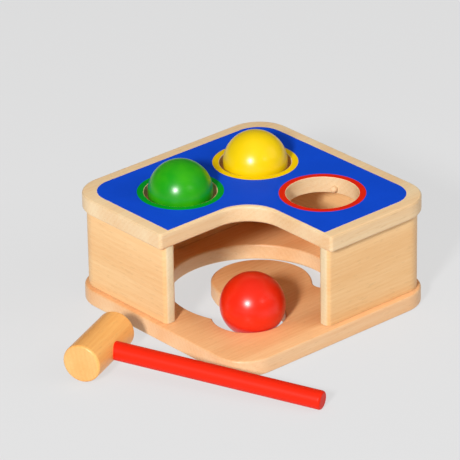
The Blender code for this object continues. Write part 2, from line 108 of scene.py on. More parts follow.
# Widths of the rubber's powdery speckle and of the floor's blasted tooth
SPECKLE_WIDE, TOOTH_WIDE = 0.4 * MM, 2.0 * MM

# The stage: the camera's place in metres, its heading, downward tilt and roll in degrees, and its lens and
# sensor in millimetres
CAMERA_AT = (-1.6521, -1.87196, 1.2818)
CAMERA_TURN = (48.926, 26.183, -0.962)
CAMERA_LENS, CAMERA_SENSOR = 307.06, 36.0
# Each soft light's degrees round the bench and above the floor, distance and width in metres, power in watts
# and whether lacquer mirrors it
LIGHTS = (
    ("key_softbox", 209.0, 27.0, 3.2, 0.45, 108.0, True),
    ("side_softbox", 268.0, 30.0, 3.2, 0.5, 4.0, True),
    ("right_softbox", 312.0, 32.0, 3.2, 2.2, 32.0, False),
    ("overhead_softbox", 225.0, 80.0, 3.0, 4.0, 22.0, False),
)
LIGHTS_AIM = (0.0, 0.0, 0.05)
FILL_COLOUR, FILL_STRENGTH = "F6F7FA", 0.09
FLOOR_REACH, FLOOR_GLOW = 6.0, 0.62


def linear(value):
    """Turns an sRGB hex colour into linear red, green and blue."""
    part = np.array([int(value[at:at + 2], 16) for at in (0, 2, 4)]) / 255
    return tuple(np.where(part <= 0.04045, part / 12.92, ((part + 0.055) / 1.055) ** 2.4).tolist())


def length(label, about, millimetres):
    """A length that a user can change, given in millimetres."""
    return bpy.props.FloatProperty(name=label, description=about, default=millimetres * MM, min=0.0,
                                   precision=5, unit="LENGTH")


def angle(label, about, degrees):
    """An angle that a user can change, given in degrees."""
    return bpy.props.FloatProperty(name=label, description=about, default=math.radians(degrees),
                                   unit="ROTATION", subtype="ANGLE")


def colour(label, about, value):
    """A colour that a user can change, given as sRGB hex."""
    return bpy.props.FloatVectorProperty(name=label, description=about, default=linear(value), size=3,
                                         min=0.0, max=1.0, subtype="COLOR")


class BenchSizes(bpy.types.PropertyGroup):
    corner: length("Board corner", "Radius of the boards' upright corners", 26.0)
    edge: length("Board edge", "Radius of the boards' softened edges", 1.6)
    notch_at: length("Notch", "Distance from the middle back to the cut-away sides, towards the front", 9.0)
    notch_corner: length("Notch corner", "Radius of the inner corner of the cut-away", 28.0)
    notch_tip: length("Notch tip", "Radius of the two points beside the cut-away", 2.5)
    hole: length("Hole radius", "Radius of the three holes that the balls are knocked through", 25.9)
    hole_lip: length("Hole lip", "Radius of the softened lips of the holes", 0.4)
    ring_in: length("Ring inner radius", "Inner radius of the coloured rings", 26.35)
    ring_out: length("Ring outer radius", "Outer radius of the coloured rings", 30.9)
    film: length("Lacquer", "Height by which the lacquer stands above the wood", 0.08)
    field_reach: length("Field reach", "Distance from the middle to the blue field's outer edges", 83.2)
    field_corner: length("Field corner", "Radius of the blue field's corners", 20.0)
    field_notch: length("Field notch", "Distance from the middle to the blue field's cut-away sides", 6.5)
    field_tip: length("Field tip", "Radius of the blue field's two points", 0.8)
    wall_out: length("Wall outer face", "Distance from the middle to the walls' outer faces", 87.5)
    wall_thick: length("Wall thickness", "Thickness of the walls", 10.0)
    wall_front: length("Wall end", "Distance from the middle to the front ends of the two front walls", 7.5)
    wall_corner: length("Wall corner", "Radius of the walls' outer upright corners", 16.0)
    wall_end: length("Wall end edge", "Radius of the upright edges of the walls' front ends", 3.5)
    joint: length("Joint", "Gap between neighbouring pieces", 0.3)
    slot_radius: length("Slot radius", "Radius of the rolling slot's outer rail", 60.95)
    slot_narrow: length("Slot start", "Width of the rolling slot at its closed end", 18.2)
    slot_wide: length("Slot finish", "Width of the rolling slot where it meets the drop hole", 32.5)
    slot_start: angle("Slot start angle", "Direction of the slot's closed end", -41.0)
    widen_from: angle("Widening starts", "Direction in which the slot starts to widen", -10.0)
    widen_to: angle("Widening ends", "Direction in which the slot reaches its full width", 150.0)
    tongue_tip: length("Tongue tip", "Length of the rounding at the tip of the tongue", 9.0)
    line_from: length("Line start", "Distance from the slot to the red line below", 2.4)
    line_wide: length("Line width", "Width of the red line below", 3.6)
    stop: length("Stop radius", "Radius of the rubber stops", 2.5)
    stop_grip: length("Stop grip", "Depth of a rubber stop in the board", 8.0)
    stop_turn: angle("Stop direction", "Direction of the first stop in each hole", 28.0)
    head: length("Head radius", "Radius of the hammer's head", 14.0)
    head_long: length("Head length", "Length of the hammer's head", 56.7)
    head_rim: length("Head rim", "Radius of the softened rims of the head", 1.8)
    handle: length("Handle radius", "Radius of the hammer's handle", 6.75)
    handle_reach: length("Handle reach", "Distance from the head's axis to the handle's end", 168.3)
    handle_end: length("Handle end", "Radius of the rounding at the handle's end", 1.8)
    hammer_away: length("Hammer away", "Distance of the hammer's head from the bench's left side", 52.3)
    hammer_along: length("Hammer along", "Distance of the hammer's head in front of the middle", 2.7)
    hammer_turn: angle("Hammer turn", "Direction in which the hammer's head points", 24.3)


class BenchColours(bpy.types.PropertyGroup):
    board_pale: colour("Board edge, pale", "Early wood of the top board's edges", "E3CCA6")
    board_deep: colour("Board edge, deep", "Late wood of the top board's edges", "D9B181")
    # The top board's level faces are painted paler than its edges: painted light from above.
    top_face_painted_light_pale: colour("Top face painted light, pale", "Early wood of the top board's level faces", "FADFB2")
    top_face_painted_light_deep: colour("Top face painted light, deep", "Late wood of the top board's level faces", "F3C58F")
    wall_pale: colour("Wall, pale", "Early wood of the walls", "E9C38E")
    wall_deep: colour("Wall, deep", "Late wood of the walls", "DCA86E")
    head_pale: colour("Head, pale", "Early wood of the hammer's head", "F2BA6E")
    head_deep: colour("Head, deep", "Late wood of the hammer's head", "E89B4B")
    face_pale: colour("Striking face, pale", "Early wood on the ends of the hammer's head", "E0B576")
    face_deep: colour("Striking face, deep", "Late wood on the ends of the hammer's head", "D69C57")
    dowel_pale: colour("Dowel, pale", "Early wood of the dowels", "E6CFA6")
    dowel_deep: colour("Dowel, deep", "Late wood of the dowels", "CDA874")
    blue: colour("Blue", "Blue lacquer of the top field", "124BCE")
    green: colour("Green", "Green lacquer of a ball", "0A950C")
    # Painted sheen in part: random yellow-green patches stand in for the broad sheen round the highlight, and
    # in part for wood under a thin coat.
    green_thin: colour("Green, thin", "Green lacquer of the ball where the wood shows through", "34A203")
    yellow: colour("Yellow", "Yellow lacquer of a ball and the underside", "EDC800")
    red: colour("Red", "Red lacquer of a ball, the handle and the line", "DE2206")
    green_ring: colour("Green ring", "Green lacquer of a ring", "009923")
    yellow_ring: colour("Yellow ring", "Yellow lacquer of a ring", "F4CB01")
    red_ring: colour("Red ring", "Red lacquer of a ring", "E4240A")
    rubber: colour("Rubber", "Natural rubber of the stops", "E4BF94")
    ray: colour("Rays", "Dark ray flecks of the beech", "9C6C42")
    base_pale: colour("Base edge, pale", "Early wood of the bottom board's edges", "E4BD91")
    base_deep: colour("Base edge, deep", "Late wood of the bottom board's edges", "DAA370")
    # The bottom board's level faces are painted brighter and more orange than its edges: painted light, and
    # the warmer tone of their shade.
    base_face_painted_shading_pale: colour("Base face painted shading, pale", "Early wood of the bottom board's level faces", "F7C38C")
    base_face_painted_shading_deep: colour("Base face painted shading, deep", "Late wood of the bottom board's level faces", "E6A067")
    end_pale: colour("End grain, pale", "Early wood on the ends of the walls", "DFD2B0")
    end_deep: colour("End grain, deep", "Late wood on the ends of the walls", "D2BF96")
    floor: colour("Floor", "Frosted acrylic floor", "69696A")


# Surfaces

def unit(vectors):
    """Vectors divided by their lengths."""
    return vectors / np.linalg.norm(vectors, axis=-1, keepdims=True)


def polar(radius, turn):
    """Points at a radius and an angle: radius times the angle's cosine and sine."""
    return np.column_stack((radius * np.cos(turn), radius * np.sin(turn)))


def arc(centre, radius, start, end, facets):
    """Arc: the centre plus a radius turned evenly from one angle to another."""
    return np.add(centre, polar(radius, np.linspace(start, end, facets + 1)))


def rounded(bends, facets=CORNER_FACETS, support=0.6 * MM):
    """Closed outline through rows of x, y and radius.

    Every corner becomes an arc that touches both its edges. The arc's centre lies on the corner's
    bisector, at the radius over the sine of half the corner's angle. One more point on either side of
    the arc keeps the long straight faces evenly shaded.
    """
    rows = np.asarray(bends, dtype=float)
    here, radius = rows[:, :2], rows[:, 2:]
    back = unit(np.roll(here, 1, axis=0) - here)
    ahead = unit(np.roll(here, -1, axis=0) - here)
    half = np.arccos((back * ahead).sum(axis=1, keepdims=True)) / 2
    centre = here + unit(back + ahead) * radius / np.sin(half)
    reach = radius / np.tan(half)
    first, last = here + back * reach - centre, here + ahead * reach - centre
    start = np.arctan2(first[:, 1:], first[:, :1])
    sweep = np.arctan2(last[:, 1:], last[:, :1]) - start
    sweep = (sweep + np.pi) % (2 * np.pi) - np.pi
    turn = start + sweep * np.linspace(0, 1, facets + 1)
    arcs = centre[:, None] + radius[:, None] * np.stack((np.cos(turn), np.sin(turn)), axis=2)
    before = (here + back * (reach + support))[:, None]
    after = (here + ahead * (reach + support))[:, None]
    return np.concatenate((before, arcs, after), axis=1).reshape(-1, 2)


def square(reach, radius):
    """Square about the middle with four round corners."""
    return rounded([(-reach, -reach, radius), (reach, -reach, radius),
                    (reach, reach, radius), (-reach, reach, radius)])


def notched(reach, notch_at, radius, notch_radius, tip_radius):
    """Rounded square with its corner towards minus x, minus y cut away by a rounded notch."""
    return rounded([
        (reach, reach, radius), (-reach, reach, radius), (-reach, notch_at, tip_radius),
        (notch_at, notch_at, notch_radius), (notch_at, -reach, tip_radius), (reach, -reach, radius)])


def circle(centre, radius, facets=HOLE_FACETS):
    """Closed circle: an arc of one whole turn without its last point."""
    return arc(centre, radius, 0.0, 2 * np.pi, facets)[:-1]


def meeting(radius, hole_radius):
    """Angles, about the middle and about the drop hole, at which a rail meets the hole's rim.

    The two circles' centres and the meeting point form a triangle with known sides, so the cosine rule
    gives both angles. The meeting on the left is the one that is used.
    """
    away = HOLE_AT["yellow"].length
    at_middle = math.acos((away ** 2 + radius ** 2 - hole_radius ** 2) / (2 * away * radius))
    at_hole = math.acos((away ** 2 + hole_radius ** 2 - radius ** 2) / (2 * away * hole_radius))
    return DROP_TURN - at_middle, DROP_TURN - math.pi + at_hole


def slot_outline(sizes, grow):
    """Outline of the rolling slot, grown by a margin.

    The outer rail is an arc about the middle. The inner rail is a spiral: its radius falls evenly with
    the angle, so the slot widens towards the drop hole. The drop hole's rim joins both, through a
    quadratic curve at the tongue's tip, and a half circle closes the narrow end.
    """
    outer, hole = sizes.slot_radius + grow, sizes.hole + grow
    drop = -HOLE_AT["yellow"]
    finish = sizes.slot_radius - sizes.slot_wide - grow
    outer_end, hole_start = meeting(outer, hole)
    tip, hole_end = meeting(finish, hole)
    before = hole_end + 2 * np.pi - sizes.tongue_tip / hole
    after = tip - sizes.tongue_tip / finish
    rail = arc((0, 0), outer, sizes.slot_start, outer_end, RAIL_FACETS)
    rim = arc(drop, hole, hole_start, before, RIM_FACETS)[1:]
    share = np.linspace(0, 1, TIP_FACETS + 1)[1:-1, None]
    ends = polar(np.array([finish, finish]), np.array([tip, after]))
    nose = rim[-1] * (1 - share) ** 2 + ends[0] * 2 * share * (1 - share) + ends[1] * share ** 2
    turn = np.linspace(after, sizes.slot_start, RAIL_FACETS)
    widening = np.clip((turn - sizes.widen_from) / (sizes.widen_to - sizes.widen_from), 0, 1)
    width = sizes.slot_narrow + (sizes.slot_wide - sizes.slot_narrow) * widening
    spiral = polar(sizes.slot_radius - width - grow, turn)
    end = polar(np.array([sizes.slot_radius - sizes.slot_narrow / 2]), np.array([sizes.slot_start]))[0]
    half_turn = sizes.slot_start + np.array((np.pi, 2 * np.pi))
    cap = arc(end, sizes.slot_narrow / 2 + grow, *half_turn, END_FACETS)[1:-1]
    return np.concatenate((rail, rim, nose, spiral, cap))


def wall_outline(sizes, low, high, support=0.6 * MM):
    """Plan of the wall on the minus x side, from low to high along y.

    An end that is None is half of a round corner, cut on the diagonal where the next wall meets it.
    Other ends are square, with quarter rounds on both upright edges.
    """
    out, inner, end = sizes.wall_out, sizes.wall_out - sizes.wall_thick, sizes.wall_end
    ends = []
    for at, side in ((high, 1), (low, -1)):
        if at is None:
            centre = (-out + sizes.wall_corner, side * (out - sizes.wall_corner))
            lean = math.pi - side * (math.pi / 4 - sizes.joint / 2 / sizes.wall_corner)
            inside = arc(centre, sizes.wall_corner - sizes.wall_thick, math.pi, lean, WALL_EDGE_FACETS)
            outside = arc(centre, sizes.wall_corner, lean, math.pi, WALL_CORNER_FACETS)
        else:
            quarter, half = side * math.pi / 2, side * math.pi
            inside = arc((-inner - end, at - side * end), end, 0, quarter, WALL_EDGE_FACETS)
            outside = arc((-out + end, at - side * end), end, quarter, half, WALL_EDGE_FACETS)
        back = np.array((0, side * support))
        ends.append(np.concatenate((inside[:1] - back, inside, outside, outside[-1:] - back)))
    return np.concatenate((ends[0], ends[1][::-1]))


def edge_band(outline, edge, low, high, steps=6, support=0.4 * MM):
    """Side of a plate: a section with two quarter rounds carried along an outline.

    outline(inset) gives the path drawn back by an inset, and the section runs from the upper face's rim
    round the upper edge, down the side and round the lower edge.
    """
    turn = np.linspace(0, np.pi / 2, steps + 1)
    inset, fall = edge * (1 - np.sin(turn)), edge * (1 - np.cos(turn))
    inset = np.concatenate((inset, [0, 0], inset[::-1]))
    height = np.concatenate((high - fall, [high - edge - support, low + edge + support], (low + fall)[::-1]))
    return np.stack([level(outline(back), up) for back, up in zip(inset, height)])


def level(outline, height):
    """An outline lifted to one height."""
    return np.column_stack((outline, np.full(len(outline), height)))


def turned(profile, facets, place):
    """Surface of revolution: rows of radius and height turned about an axis, then put in place."""
    turn = np.linspace(0, 2 * np.pi, facets, endpoint=False)
    radius, height = np.asarray(profile)[:, :1], np.asarray(profile)[:, 1:]
    grid = np.stack((radius * np.cos(turn), radius * np.sin(turn), height + 0 * turn), axis=2)
    place = np.array(place)
    return grid @ place[:3, :3].T + place[:3, 3]


def soft_rod(radius, low, high, low_edge, high_edge, steps=8, support=0.5 * MM):
    """Profile of a rod: from the axis out over one rounded end, along the side and in over the other."""
    turn = np.linspace(0, np.pi / 2, steps + 1)
    first = np.column_stack((radius - low_edge * (1 - np.sin(turn)), low + low_edge * (1 - np.cos(turn))))
    last = np.column_stack((radius - high_edge * (1 - np.cos(turn)), high - high_edge * (1 - np.sin(turn))))
    side = [(radius, low + low_edge + support), (radius, high - high_edge - support)]
    rim_low = [(0, low), (max(radius - low_edge - support, 0), low)]
    rim_high = [(max(radius - high_edge - support, 0), high), (0, high)]
    return np.concatenate((rim_low, first, side, last, rim_high))


def piece(name, bands, caps, material, body, slot, *nodes):
    """Makes a closed mesh from grids that wrap round and flat caps, and lets it replace CAD nodes.

    A band is an array of rows by columns by three. A cap is a list of band and row numbers: the first
    loop is its outline and the others are its holes.
    """
    points = np.concatenate([band.reshape(-1, 3) for band in bands])
    starts = np.cumsum([0] + [band.shape[0] * band.shape[1] for band in bands])
    faces = []
    for start, band in zip(starts, bands):
        rows, columns = band.shape[:2]
        near = start + np.arange(rows - 1)[:, None] * columns + np.arange(columns)
        far = start + np.arange(rows - 1)[:, None] * columns + (np.arange(columns) + 1) % columns
        faces += np.stack((near, far, far + columns, near + columns), axis=2).reshape(-1, 4).tolist()
    smooth = [True] * len(faces)
    for cap in caps:
        loops = [starts[at] + row % bands[at].shape[0] * bands[at].shape[1] + np.arange(bands[at].shape[1])
                 for at, row in cap]
        fill = tessellate_polygon([points[loop].tolist() for loop in loops])
        faces += np.concatenate(loops)[np.array(fill)].tolist()
    smooth += [False] * (len(faces) - len(smooth))
    mesh = bpy.data.meshes.new(name)
    mesh.from_pydata(points.tolist(), [], faces)
    mesh.polygons.foreach_set("use_smooth", smooth)
    work = bmesh.new()
    work.from_mesh(mesh)
    bmesh.ops.remove_doubles(work, verts=work.verts, dist=MERGE_WITHIN)
    bmesh.ops.recalc_face_normals(work, faces=work.faces)
    work.to_mesh(mesh)
    work.free()
    mesh.set_sharp_from_angle(angle=SHARP_FROM)
    mesh.materials.append(material)
    thing = bpy.data.objects.new(name, mesh)
    bpy.context.scene.collection.objects.link(thing)
    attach(thing, body)
    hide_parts(*nodes)


def plate(name, bands, *ways):
    """Flat plate: its first band is the outer side and the others are the sides of its holes."""
    caps = [[(at, row) for at in range(len(bands))] for row in (0, -1)]
    piece(name, bands, caps, *ways)


def film(outline, low, high, facing):
    """Side of a lacquer film: straight, then drawn in slightly at the face that shows."""
    soft = (high - low) / 3
    rows = [(0, low), (0, high - soft), (soft, high)]
    if facing < 0:
        rows = [(soft, low), (0, low + soft), (0, high)]
    return np.stack([level(outline(back), up) for back, up in rows])


# Materials

# Sockets of a colour Mix node: the share, the first and second colour, and the result
SHARE, FIRST, SECOND, MIXED = 0, 6, 7, 2


def add(tree, kind, inputs=None, **settings):
    """Adds one node, sets it and links or fills its inputs."""
    node = tree.nodes.new(kind)
    for key, value in settings.items():
        setattr(node, key, value)
    for key, value in (inputs or {}).items():
        if isinstance(value, bpy.types.NodeSocket):
            tree.links.new(value, node.inputs[key])
        else:
            node.inputs[key].default_value = value
    return node


def new_material(name):
    """Makes a material with an empty node tree."""
    material = bpy.data.materials.new(name)
    material.use_nodes = True
    material.node_tree.nodes.clear()
    return material, material.node_tree


def shade(tint, share=1.0):
    """A linear colour times a share, held at full brightness, with a fourth part for opaque."""
    return (*(min(part * share, 1.0) for part in tint), 1.0)


def beech(name, turn, pith, tones, ray, gloss, axis=2, across=None):
    """Beech, planed or turned, under a thin clear finish.

    The growth rings are cylinders about a pith line beside the piece, so long faces show straight
    streaks and ends show arcs. The cutter and the finish leave fine closed fibres with a low sheen,
    and the short darker flecks are the rays that mark beech. The flecks are drawn at about 1 by 6 mm,
    twice their real size, so that they show. Faces across one axis can have tones of their own. On the
    boards these are painted light and shade: the top board's level faces are painted paler, as if lit
    from above, and the bottom board's level faces brighter and more orange, for more light on them and
    for the warmer tone of their shade. A plank's ends are paler.
    """
    material, tree = new_material(name)
    seen = add(tree, "ShaderNodeTexCoord").outputs
    grain = add(tree, "ShaderNodeMapping", {
        "Vector": seen["Object"], "Location": pith, "Rotation": turn}).outputs[0]
    drawn = add(tree, "ShaderNodeMapping", {"Vector": grain, "Scale": (1 / FIBRE_LONG, 1, 1)}).outputs[0]
    short = add(tree, "ShaderNodeMapping", {"Vector": grain, "Scale": (1 / RAY_LONG, 1, 1)}).outputs[0]
    # A Wave node's rings repeat every pi tenths at a scale of one
    rings = add(tree, "ShaderNodeTexWave", {
        "Vector": drawn, "Scale": math.pi / (10 * GROWTH_WIDE), "Distortion": 9.0, "Detail": 3.0,
        "Detail Scale": 0.25}, wave_type="RINGS", rings_direction="X").outputs["Fac"]
    broad = add(tree, "ShaderNodeTexNoise", {
        "Vector": drawn, "Scale": 1 / BAND_WIDE, "Detail": 2.0}).outputs["Fac"]
    fibre = add(tree, "ShaderNodeTexNoise", {
        "Vector": drawn, "Scale": 1 / FIBRE_WIDE, "Detail": 3.0}).outputs["Fac"]
    dash = add(tree, "ShaderNodeTexNoise", {
        "Vector": short, "Scale": 1 / RAY_WIDE, "Detail": 1.0}).outputs["Fac"]
    rays = add(tree, "ShaderNodeMapRange", {"Value": dash, "From Min": 0.62, "From Max": 0.74}).outputs[0]
    # The broad bands carry most of the tone, the fibres less and the growth rings least
    tone = add(tree, "ShaderNodeMath", {0: rings, 1: 0.1, 2: -0.05}, operation="MULTIPLY_ADD").outputs[0]
    tone = add(tree, "ShaderNodeMath", {0: broad, 1: 1.2, 2: tone}, operation="MULTIPLY_ADD").outputs[0]
    tone = add(tree, "ShaderNodeMath", {0: fibre, 1: 0.55, 2: tone}, operation="MULTIPLY_ADD").outputs[0]
    tone = add(tree, "ShaderNodeMapRange", {"Value": tone, "From Min": 0.5, "From Max": 1.25}).outputs[0]
    wood = add(tree, "ShaderNodeMix", {
        SHARE: tone, FIRST: shade(tones[0]), SECOND: shade(tones[1])}, data_type="RGBA").outputs[MIXED]
    # Tones of their own for faces across one axis: painted light and shade by facing on the boards, end grain
    # on the planks and the head
    if across:
        other = add(tree, "ShaderNodeMix", {
            SHARE: tone, FIRST: shade(across[0]), SECOND: shade(across[1])}, data_type="RGBA").outputs[MIXED]
        facing = add(tree, "ShaderNodeSeparateXYZ", {"Vector": seen["Normal"]}).outputs[axis]
        facing = add(tree, "ShaderNodeMath", {0: facing}, operation="ABSOLUTE").outputs[0]
        facing = add(tree, "ShaderNodeMapRange", {
            "Value": facing, "From Min": 0.75, "From Max": 0.97}).outputs[0]
        wood = add(tree, "ShaderNodeMix", {
            SHARE: facing, FIRST: wood, SECOND: other}, data_type="RGBA").outputs[MIXED]
    share = add(tree, "ShaderNodeMath", {0: rays, 1: 0.16}, operation="MULTIPLY").outputs[0]
    wood = add(tree, "ShaderNodeMix", {
        SHARE: share, FIRST: wood, SECOND: shade(ray)}, data_type="RGBA").outputs[MIXED]
    relief = add(tree, "ShaderNodeMath", {0: rays, 1: -0.5, 2: fibre}, operation="MULTIPLY_ADD").outputs[0]
    bump = add(tree, "ShaderNodeBump", {
        "Height": relief, "Strength": 0.1, "Distance": 0.1 * MM}).outputs[0]
    rough = add(tree, "ShaderNodeMapRange", {
        "Value": fibre, "From Min": 0.3, "From Max": 0.7,
        "To Min": gloss - 0.05, "To Max": gloss + 0.07}).outputs[0]
    shader = add(tree, "ShaderNodeBsdfPrincipled", {
        "Base Color": wood, "Roughness": rough, "Normal": bump, "Specular IOR Level": 0.4})
    add(tree, "ShaderNodeOutputMaterial", {"Surface": shader.outputs[0]})
    return material


def lacquer(name, tint, coat, thin=None):
    """Coloured lacquer sprayed on wood.

    Spraying leaves a faint orange peel, about 1.5 mm from crest to crest, and a tone that drifts by a
    few parts in a hundred over a couple of centimetres. A second tone, where given, is mixed in by the
    same drift as random patches; on the green ball these yellow-green patches are partly painted sheen,
    standing in for the broad sheen round the highlight, and partly the wood under a thin coat. On flat
    boards the grain below, in lines about 1.1 mm apart, shows through faintly.
    """
    gloss, shine, peel, telegraph = coat
    material, tree = new_material(name)
    place = add(tree, "ShaderNodeTexCoord").outputs["Object"]
    drawn = add(tree, "ShaderNodeMapping", {"Vector": place, "Scale": (1 / FIBRE_LONG, 1, 1)}).outputs[0]
    drift = add(tree, "ShaderNodeTexNoise", {
        "Vector": place, "Scale": 1 / DRIFT_WIDE, "Detail": 2.0}).outputs["Fac"]
    drift = add(tree, "ShaderNodeMapRange", {"Value": drift, "From Min": 0.3, "From Max": 0.7}).outputs[0]
    paint = add(tree, "ShaderNodeMix", {
        SHARE: drift, FIRST: shade(tint, 0.96), SECOND: shade(thin or tint, 1.03)},
        data_type="RGBA").outputs[MIXED]
    skin = add(tree, "ShaderNodeTexNoise", {
        "Vector": place, "Scale": 1 / PEEL_WIDE, "Detail": 1.0}).outputs["Fac"]
    lines = add(tree, "ShaderNodeTexNoise", {
        "Vector": drawn, "Scale": 1 / LINE_WIDE, "Detail": 2.0}).outputs["Fac"]
    relief = add(tree, "ShaderNodeMath", {
        0: lines, 1: telegraph, 2: skin}, operation="MULTIPLY_ADD").outputs[0]
    bump = add(tree, "ShaderNodeBump", {
        "Height": relief, "Strength": peel, "Distance": 0.05 * MM}).outputs[0]
    rough = add(tree, "ShaderNodeMapRange", {
        "Value": skin, "From Min": 0.3, "From Max": 0.7,
        "To Min": gloss * 0.97, "To Max": gloss * 1.1}).outputs[0]
    shader = add(tree, "ShaderNodeBsdfPrincipled", {
        "Base Color": paint, "Roughness": rough, "Normal": bump, "Specular IOR Level": shine})
    add(tree, "ShaderNodeOutputMaterial", {"Surface": shader.outputs[0]})
    return material


def rubber(name, tint):
    """Moulded natural rubber: dull, with a fine powdery speckle about 0.4 mm across from the mould."""
    material, tree = new_material(name)
    place = add(tree, "ShaderNodeTexCoord").outputs["Object"]
    speckle = add(tree, "ShaderNodeTexNoise", {
        "Vector": place, "Scale": 1 / SPECKLE_WIDE, "Detail": 2.0}).outputs["Fac"]
    skin = add(tree, "ShaderNodeMix", {
        SHARE: speckle, FIRST: shade(tint, 0.9), SECOND: shade(tint, 1.06)}, data_type="RGBA").outputs[MIXED]
    bump = add(tree, "ShaderNodeBump", {
        "Height": speckle, "Strength": 0.3, "Distance": 0.05 * MM}).outputs[0]
    rough = add(tree, "ShaderNodeMapRange", {
        "Value": speckle, "From Min": 0.3, "From Max": 0.7, "To Min": 0.6, "To Max": 0.75}).outputs[0]
    shader = add(tree, "ShaderNodeBsdfPrincipled", {"Base Color": skin, "Roughness": rough, "Normal": bump})
    add(tree, "ShaderNodeOutputMaterial", {"Surface": shader.outputs[0]})
    return material


def frosted_acrylic(name, tint, glow):
    """Sandblasted acrylic of a light table: matt and pale, lit from below so that shadows stay light.

    The blasting leaves a tooth that is drawn 2 mm across, far coarser than the real one, and hardly shows.
    """
    material, tree = new_material(name)
    place = add(tree, "ShaderNodeTexCoord").outputs["Object"]
    tooth = add(tree, "ShaderNodeTexNoise", {
        "Vector": place, "Scale": 1 / TOOTH_WIDE, "Detail": 2.0}).outputs["Fac"]
    sheet = add(tree, "ShaderNodeMix", {
        SHARE: tooth, FIRST: shade(tint, 0.985), SECOND: shade(tint)}, data_type="RGBA").outputs[MIXED]
    shader = add(tree, "ShaderNodeBsdfPrincipled", {
        "Base Color": sheet, "Roughness": 0.95, "Specular IOR Level": 0.1,
        "Emission Color": shade(linear("FFFFFF")), "Emission Strength": glow})
    add(tree, "ShaderNodeOutputMaterial", {"Surface": shader.outputs[0]})
    return material


# Operators

class BENCH_OT_boards(bpy.types.Operator):
    """Builds the top board with its three holes and the bottom board with its rolling slot"""
    bl_idname = "bench.boards"
    bl_label = "Boards"

    def execute(self, context):
        sizes, colours = context.scene.bench_sizes, context.scene.bench_colours
        half = TOP_HIGH.x
        top = [edge_band(lambda inset: notched(half - inset, -sizes.notch_at + inset, sizes.corner - inset,
                                               sizes.notch_corner + inset, sizes.notch_tip - inset),
                         sizes.edge, TOP_LOW.z, TOP_HIGH.z)]
        top += [edge_band(lambda inset, at=at: circle(at, sizes.hole + inset),
                          sizes.hole_lip, TOP_LOW.z, TOP_HIGH.z) for at in HOLE_AT.values()]
        # The top board's level faces take paler tones of their own: painted light from above.
        wood = beech("beech_top_board_planed_satin", turn=(0, 0, 0), pith=(0, 0.21, 0.12),
                     tones=(colours.board_pale, colours.board_deep), ray=colours.ray, gloss=SATIN,
                     axis=2, across=(colours.top_face_painted_light_pale, colours.top_face_painted_light_deep))
        plate("top_board_plate", top, wood, "bench", "board_beech", "top_board")
        base = [edge_band(lambda inset: square(half - inset, sizes.corner - inset),
                          sizes.edge, BASE_LOW.z, BASE_HIGH.z),
                edge_band(lambda inset: slot_outline(sizes, inset), sizes.edge, BASE_LOW.z, BASE_HIGH.z)]
        # The bottom board's level faces take brighter, more orange tones of their own: painted light, and the
        # warmer tone of their shade.
        wood = beech("beech_bottom_board_planed_satin", turn=(0, 0, 0), pith=(0.4, -0.26, 0.17),
                     tones=(colours.base_pale, colours.base_deep), ray=colours.ray, gloss=SATIN,
                     axis=2, across=(colours.base_face_painted_shading_pale, colours.base_face_painted_shading_deep))
        plate("bottom_board_plate", base, wood, "bench", "board_beech", "bottom_board")
        return {"FINISHED"}


class BENCH_OT_walls(bpy.types.Operator):
    """Builds the four upright walls between the boards"""
    bl_idname = "bench.walls"
    bl_label = "Walls"

    def execute(self, context):
        sizes, colours = context.scene.bench_sizes, context.scene.bench_colours
        low, high = BASE_HIGH.z + sizes.joint, TOP_LOW.z - sizes.joint
        plans = {
            "front_left_wall": (0, wall_outline(sizes, -sizes.wall_front, None)),
            "back_left_wall": (-1, wall_outline(sizes, None, None)),
            "back_right_wall": (-2, wall_outline(sizes, None, None)),
            "front_right_wall": (1, wall_outline(sizes, None, sizes.wall_front)),
        }
        for name, (quarters, plan) in plans.items():
            turn = quarters * math.pi / 2
            spin = np.array(((math.cos(turn), -math.sin(turn)), (math.sin(turn), math.cos(turn))))
            plan = plan @ spin.T
            side = np.stack([level(plan, height) for height in (high, (high + low) / 2, low)])
            # The grain runs along the wall, and every plank comes from another place in the log
            along = (0, 0, 0) if quarters % 2 else (0, 0, -math.pi / 2)
            wood = beech(f"beech_{name}_planed_satin", turn=along,
                         pith=(0.3 * quarters, 0.05, 0.11 + 0.02 * quarters),
                         tones=(colours.wall_pale, colours.wall_deep), ray=colours.ray, gloss=SATIN,
                         axis=1 - quarters % 2, across=(colours.end_pale, colours.end_deep))
            plate(f"{name}_plank", [side], wood, "bench", "wall_beech", name)
        return {"FINISHED"}


